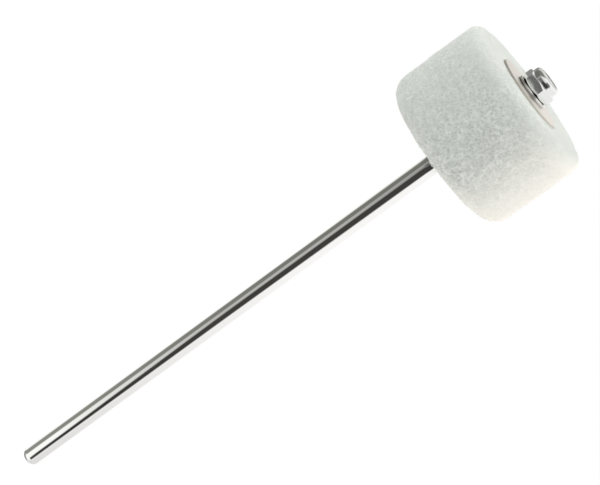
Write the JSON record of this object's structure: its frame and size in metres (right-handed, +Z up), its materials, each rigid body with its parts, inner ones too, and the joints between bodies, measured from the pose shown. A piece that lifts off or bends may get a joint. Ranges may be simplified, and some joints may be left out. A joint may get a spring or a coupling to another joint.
{
  "type": "bass drum beater",
  "caption": "Bass drum beater: a plated straight rod with a thick round felt head, clamped between large washers by a nylon-insert lock nut.",
  "frame": {"origin": "centre of the rod's free lower end", "axes": "+Z up the rod's axis from its free end to the lock nut; the picture looks along +Y, with +X to its right"},
  "size_m": [0.056, 0.056, 0.2163],
  "materials": {
    "plated_rod": "polished nickel or chrome plate",
    "plated_nut": "bright plate",
    "plated_washer": "bright plate, slightly warm",
    "spring_steel": "plated spring steel",
    "felt": "hard pressed off-white wool felt, short nap",
    "nylon": "satin off-white"
  },
  "bodies": {
    "rod": {"beater_rod": "plated_rod", "jam_nut": "plated_nut"},
    "head": {"felt_head": "felt", "upper_washer": "plated_washer", "lower_washer": "plated_washer"},
    "spring_ring": {"split_washer": "spring_steel"},
    "nut": {"lock_nut": "plated_nut", "nylon_insert": "nylon"}
  },
  "joints": [
    {"name": "felt_turn", "type": "hinge", "parent": "rod", "child": "head", "pos_m": [0, 0, 0.19125], "axis": [0, 0, 1], "continuous": true},
    {"name": "nut_travel", "type": "slide", "parent": "rod", "child": "spring_ring", "axis": [0, 0, 1], "range_m": [0, 0.00508]},
    {"name": "nut_turn", "type": "hinge", "parent": "spring_ring", "child": "nut", "pos_m": [0, 0, 0.213], "axis": [0, 0, 1], "range_deg": [0, 1440]}
  ],
  "couplings": [
    {"joint": "nut_turn", "follows": "nut_travel", "rad_per_m": 4947.4}
  ]
}
